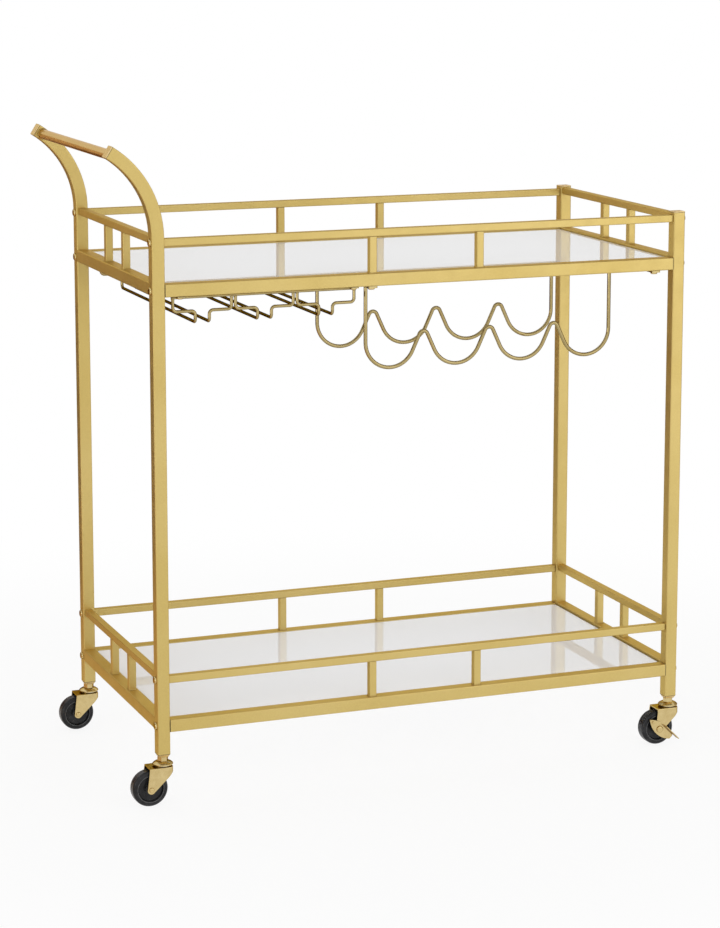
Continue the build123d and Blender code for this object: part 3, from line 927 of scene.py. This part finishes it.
@dataclass
class WireRacks:
    """Stemware channels and bottle hoops under the upper shelf.

    The weld's stations are shares of the wire's diameter, its bulges shares of the flare and
    its core a share of the wire's radius.
    """

    stem_wire: float = 4.0 * MM
    flare: float = 0.9 * MM
    weld_top: float = 0.35
    weld_crest: float = 0.2
    weld_waist: float = -0.1
    weld_end: float = -0.4
    crest_bulge: float = 0.5
    waist_bulge: float = 0.25
    core: float = 0.55
    skin: float = 0.01 * MM
    weld_steps: int = 24
    channels: tuple[str, ...] = (
        "stemware_channel_1",
        "stemware_channel_2",
        "stemware_channel_3",
    )
    others: tuple[str, ...] = (
        "stemware_cross_wires",
        "stemware_tabs",
        "bottle_straps",
        "bottle_hoops_front",
        "bottle_hoops_rear",
    )

    def build(self, wardrobe: Wardrobe) -> list[str]:
        """Dresses the wires and adds the weld at each upright's top.

        Args:
            wardrobe: The finishes.

        Returns:
            The names of the pieces.
        """
        pieces = wardrobe.dress((*self.channels, *self.others), Slot.WIRE)
        mesh = bmesh.new()
        radius = self.stem_wire / 2
        for node in self.channels:
            low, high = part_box(node)
            for x in (low.x + radius, high.x - radius):
                for y in (low.y + radius, high.y - radius):
                    self.upright_weld(mesh, Vector((x, y, high.z)))
        finish = wardrobe.materials[Slot.WIRE]
        return [*pieces, new_piece("stemware_weld_collars", mesh, "frame", finish)]

    def upright_weld(self, mesh: bmesh.types.BMesh, top: Vector) -> None:
        """Adds the flared weld between an upright and its cross wire.

        Args:
            mesh: The mesh to add to.
            top: Where the upright ends.
        """
        radius = self.stem_wire / 2
        profile = (
            (self.weld_top, self.core * radius),
            (self.weld_crest, radius + self.crest_bulge * self.flare),
            (self.weld_waist, radius + self.waist_bulge * self.flare),
            (self.weld_end, radius + self.skin),
            (self.weld_end, self.core * radius),
        )
        rings = [
            (station * self.stem_wire, circle(reach, self.weld_steps)) for station, reach in profile
        ]
        add_band(mesh, top, RIGHT, UP, rings)


@dataclass
class Casters:
    """Four swivel casters: stems, forks, axles, wheels and brake levers.

    The rim's profile lists the height over the wheel's face and the offset from the recess.
    """

    corners: tuple[str, ...] = ("front_left", "rear_left", "front_right", "rear_right")
    braked: tuple[str, ...] = ("front_right", "rear_right")
    wheel_radius: float = 22.75 * MM
    recess_radius: float = 16.4 * MM
    rim_half: float = 8.5 * MM
    parting: float = 0.5 * MM
    parting_proud: float = 0.06 * MM
    bury: float = 0.2 * MM
    wheel_steps: int = 96
    rim_profile: tuple[Range, ...] = (
        (-0.3 * MM, -0.1 * MM),
        (0.32 * MM, 0.1 * MM),
        (0.4 * MM, 0.45 * MM),
        (0.24 * MM, 0.8 * MM),
        (-0.3 * MM, 1.0 * MM),
    )

    def build(self, wardrobe: Wardrobe) -> list[str]:
        """Dresses every caster and adds the wheels' parting lines and rim beads.

        Args:
            wardrobe: The finishes.

        Returns:
            The names of the pieces.
        """
        pieces = wardrobe.dress(("caster_stems",), Slot.PLATED)
        for corner in self.corners:
            metal = (f"caster_fork_{corner}", f"caster_axle_{corner}")
            pieces += wardrobe.dress(metal, Slot.PLATED)
            pieces += wardrobe.dress((f"caster_wheel_{corner}",), Slot.WHEEL)
            pieces.append(self.parting_line(wardrobe, corner))
            pieces.append(self.rim_beads(wardrobe, corner))
        levers = tuple(f"brake_lever_{corner}" for corner in self.braked)
        return pieces + wardrobe.dress(levers, Slot.PLATED)

    def parting_line(self, wardrobe: Wardrobe, corner: str) -> str:
        """Adds the moulding line round the middle of a wheel's tread.

        Args:
            wardrobe: The finishes.
            corner: The caster's corner.

        Returns:
            The piece's name.
        """
        low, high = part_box(f"caster_wheel_{corner}")
        mesh = bmesh.new()
        root = circle(self.wheel_radius - self.bury, self.wheel_steps)
        crest = circle(self.wheel_radius + self.parting_proud, self.wheel_steps)
        rings = [
            (-self.parting / 2, root),
            (-self.parting / 4, crest),
            (self.parting / 4, crest),
            (self.parting / 2, root),
        ]
        add_band(mesh, (low + high) / 2, RIGHT, BACK, rings)
        finish = wardrobe.materials[Slot.WHEEL]
        name, body = f"wheel_parting_line_{corner}", f"wheel_{corner}"
        return new_piece(name, mesh, body, finish)

    def rim_beads(self, wardrobe: Wardrobe, corner: str) -> str:
        """Adds the raised lip round the recess on both sides of a wheel.

        Args:
            wardrobe: The finishes.
            corner: The caster's corner.

        Returns:
            The piece's name.
        """
        low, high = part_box(f"caster_wheel_{corner}")
        mesh = bmesh.new()
        rings = [
            (height, circle(self.recess_radius + offset, self.wheel_steps))
            for height, offset in self.rim_profile
        ]
        for side in (-BACK, BACK):
            add_band(mesh, (low + high) / 2 + self.rim_half * side, RIGHT, side, rings)
        name, body = f"wheel_rim_beads_{corner}", f"wheel_{corner}"
        return new_piece(name, mesh, body, wardrobe.lip)


@dataclass(frozen=True)
class Flag:
    """A soft studio card that only glossy surfaces see."""

    name: str
    place: Point
    facing: Point
    size: tuple[float, float]
    tone: Colour

    def build(self) -> None:
        """Leans the card in its place."""
        mesh = bmesh.new()
        bmesh.ops.create_grid(mesh, x_segments=1, y_segments=1, size=HALF_CARD)
        data = bpy.data.meshes.new(self.name)
        mesh.to_mesh(data)
        mesh.free()
        flag = bpy.data.objects.new(self.name, data)
        flag.location = self.place
        flag.scale = (*self.size, 1.0)
        flag.rotation_euler = Vector(self.facing).to_track_quat("Z", "Y").to_euler()
        flag.visible_camera = flag.visible_diffuse = flag.visible_shadow = False
        bpy.context.scene.collection.objects.link(flag)
        data.materials.append(StudioCard(self.name, self.tone).material())


@dataclass(frozen=True)
class SoftBox:
    """A square soft lamp."""

    name: str
    place: Point
    target: Point
    size: float
    watts: float

    def build(self) -> None:
        """Hangs the lamp and turns it to its target."""
        data = bpy.data.lights.new(self.name, "AREA")
        data.size = self.size
        data.energy = self.watts
        lamp = bpy.data.objects.new(self.name, data)
        lamp.location = self.place
        aim = Vector(self.target) - Vector(self.place)
        lamp.rotation_euler = aim.to_track_quat("-Z", "Y").to_euler()
        bpy.context.scene.collection.objects.link(lamp)


FLAGS = (
    Flag(
        "flag_left",
        place=(-1.3, 1.13, 0.225),
        facing=(0.0, -0.61, 0.79),
        size=(3.4, 0.92),
        tone=(0.16, 0.05, 0.005),
    ),
    Flag(
        "flag_warm",
        place=(-1.35, 2.4, 0.48),
        facing=(0.0, -1.0, 0.0),
        size=(3.9, 1.15),
        tone=(0.58, 0.4, 0.24),
    ),
    Flag(
        "flag_floor",
        place=(-0.95, 0.45, 0.004),
        facing=(0.0, 0.0, 1.0),
        size=(1.3, 2.0),
        tone=(0.78, 0.45, 0.18),
    ),
    Flag(
        "flag_side",
        place=(-2.0, 0.3, 0.7),
        facing=(1.0, 0.0, 0.0),
        size=(2.2, 2.2),
        tone=(0.4, 0.33, 0.26),
    ),
    Flag(
        "flag_right",
        place=(1.75, 0.0, 0.7),
        facing=(-1.0, 0.0, 0.0),
        size=(3.2, 2.0),
        tone=(0.42, 0.38, 0.33),
    ),
    Flag(
        "flag_top",
        place=(0.4, 0.6, 2.3),
        facing=(0.0, 0.0, -1.0),
        size=(3.4, 2.8),
        tone=(0.34, 0.3, 0.25),
    ),
)
LAMPS = (
    SoftBox("key_front", place=(1.7, -2.4, 1.0), target=(0.15, 0.0, 0.45), size=2.0, watts=8.0),
    SoftBox("rim_left", place=(-2.5, -1.1, 0.5), target=(0.0, 0.0, 0.45), size=0.7, watts=5.0),
)


@dataclass
class Studio:
    """White floor and surround, soft lamps and cards."""

    floor_size: float = 40.0
    floor_tone: Colour = (0.95, 0.95, 0.95)
    floor_roughness: float = 0.9
    surround: float = 1.0
    ambient: Range = (2.1, 0.1)
    shadow_share: float = 0.12
    shadow_reach: Range = (0.55, 1.3)

    def build(self) -> None:
        """Lights the cart and lays the floor."""
        bpy.context.scene.view_settings.view_transform = "Standard"
        self.world()
        self.floor()
        for item in (*FLAGS, *LAMPS):
            item.build()

    def world(self) -> None:
        """Makes the surround white to the eye and softly bright to diffuse surfaces."""
        world = bpy.data.worlds.new("studio")
        bpy.context.scene.world = world
        world.use_nodes = True
        nodes, links = world.node_tree.nodes, world.node_tree.links
        background = nodes["Background"]
        background.inputs["Color"].default_value = (1.0, 1.0, 1.0, 1.0)
        height = nodes.new("ShaderNodeSeparateXYZ")
        links.new(nodes.new("ShaderNodeTexCoord").outputs["Generated"], height.inputs["Vector"])
        sky = nodes.new("ShaderNodeMapRange")
        sky.inputs["To Min"].default_value, sky.inputs["To Max"].default_value = self.ambient
        links.new(height.outputs["Z"], sky.inputs["Value"])
        level = nodes.new("ShaderNodeMapRange")
        level.inputs["To Max"].default_value = self.surround
        links.new(sky.outputs["Result"], level.inputs["To Min"])
        links.new(self.seen_share(nodes, links), level.inputs["Value"])
        links.new(level.outputs["Result"], background.inputs["Strength"])

    @staticmethod
    def seen_share(nodes: bpy.types.Nodes, links: bpy.types.NodeLinks) -> Socket:
        """Tells camera, glossy and transmission rays from the others.

        Args:
            nodes: The tree's nodes.
            links: The tree's links.

        Returns:
            1 for these rays and 0 for the others.
        """
        path = nodes.new("ShaderNodeLightPath")
        total = path.outputs["Is Camera Ray"]
        for kind in ("Is Glossy Ray", "Is Transmission Ray"):
            either = nodes.new("ShaderNodeMath")
            either.operation = "MAXIMUM"
            links.new(total, either.inputs[0])
            links.new(path.outputs[kind], either.inputs[1])
            total = either.outputs["Value"]
        return total

    def floor(self) -> None:
        """Lays a white floor that keeps the cart's shadow."""
        mesh = bmesh.new()
        bmesh.ops.create_grid(mesh, x_segments=1, y_segments=1, size=self.floor_size / 2)
        data = bpy.data.meshes.new("studio_floor")
        mesh.to_mesh(data)
        mesh.free()
        floor = bpy.data.objects.new("studio_floor", data)
        bpy.context.scene.collection.objects.link(floor)
        material = bpy.data.materials.new("studio_floor")
        material.use_nodes = True
        nodes, links = material.node_tree.nodes, material.node_tree.links
        shader = nodes["Principled BSDF"]
        shader.inputs["Base Color"].default_value = (*self.floor_tone, 1.0)
        shader.inputs["Roughness"].default_value = self.floor_roughness
        shader.inputs["Specular IOR Level"].default_value = 0.0
        white = nodes.new("ShaderNodeEmission")
        blend = nodes.new("ShaderNodeMixShader")
        links.new(self.white_share(nodes, links), blend.inputs["Fac"])
        links.new(shader.outputs["BSDF"], blend.inputs[1])
        links.new(white.outputs["Emission"], blend.inputs[2])
        links.new(blend.outputs["Shader"], nodes["Material Output"].inputs["Surface"])
        data.materials.append(material)

    def white_share(self, nodes: bpy.types.Nodes, links: bpy.types.NodeLinks) -> Socket:
        """Finds how white the floor is to seen rays: all of it far off, less near the cart.

        Args:
            nodes: The floor's nodes.
            links: The floor's links.

        Returns:
            The share of plain white.
        """
        away = nodes.new("ShaderNodeVectorMath")
        away.operation = "LENGTH"
        links.new(nodes.new("ShaderNodeTexCoord").outputs["Object"], away.inputs[0])
        level = nodes.new("ShaderNodeMapRange")
        level.interpolation_type = "SMOOTHSTEP"
        level.inputs["From Min"].default_value = self.shadow_reach[0]
        level.inputs["From Max"].default_value = self.shadow_reach[1]
        level.inputs["To Min"].default_value = 1.0 - self.shadow_share
        links.new(away.outputs["Value"], level.inputs["Value"])
        seen = nodes.new("ShaderNodeMath")
        seen.operation = "MULTIPLY"
        links.new(level.outputs["Result"], seen.inputs[0])
        links.new(self.seen_share(nodes, links), seen.inputs[1])
        return seen.outputs["Value"]


@dataclass
class PhotoCamera:
    """Camera at the photograph's viewing angle."""

    place: Point = (-1.2754, -3.3083, 1.1169)
    forward: Point = (0.35581, 0.91986, -0.16512)
    focal_px: float = 2731.1
    image_height: float = 928.0
    rise_px: float = -111.0
    sensor: float = 36.0
    clip_end: float = 100.0

    def build(self) -> None:
        """Places the camera and makes it the scene's own."""
        data = bpy.data.cameras.new("photo_camera")
        data.sensor_fit = "VERTICAL"
        data.sensor_height = self.sensor
        data.lens = self.focal_px / self.image_height * self.sensor
        data.shift_y = self.rise_px / self.image_height
        data.clip_end = self.clip_end
        camera = bpy.data.objects.new("photo_camera", data)
        camera.location = self.place
        camera.rotation_euler = Vector(self.forward).to_track_quat("-Z", "Y").to_euler()
        bpy.context.scene.collection.objects.link(camera)
        bpy.context.scene.camera = camera


def main() -> None:
    """Builds the cart's dressed sub-assemblies, then the studio and camera."""
    logging.basicConfig(level=logging.INFO, format="%(name)s: %(message)s")
    wardrobe = Wardrobe()
    for assembly in (TubeFrame(), Shelves(), Fasteners(), WireRacks(), Casters()):
        for piece in assembly.build(wardrobe):
            LOG.info("%s: dressed %s", type(assembly).__name__, piece)
    Studio().build()
    PhotoCamera().build()


if __name__ == "__main__":
    main()
